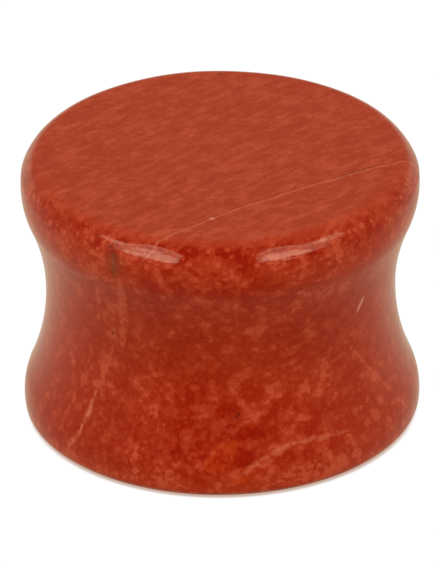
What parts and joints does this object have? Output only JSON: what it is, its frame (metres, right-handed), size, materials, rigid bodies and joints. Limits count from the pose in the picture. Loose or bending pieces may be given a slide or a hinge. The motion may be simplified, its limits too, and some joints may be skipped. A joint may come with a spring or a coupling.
{
  "type": "ear plug gauge",
  "caption": "Double-flared ear plug of polished red stone: a solid disc-ended spool with a concave waist and rounded flares.",
  "frame": {"origin": "centre of the lower flat face, on the surface that the plug stands on", "axes": "+Z along the plug's axis, from the lower flat face to the upper one; the solid is round about Z, so X and Y are free"},
  "size_m": [0.0182, 0.0182, 0.0129],
  "materials": {
    "stone": "polished"
  },
  "bodies": {
    "root": {"stone_plug": "stone"}
  },
  "joints": []
}
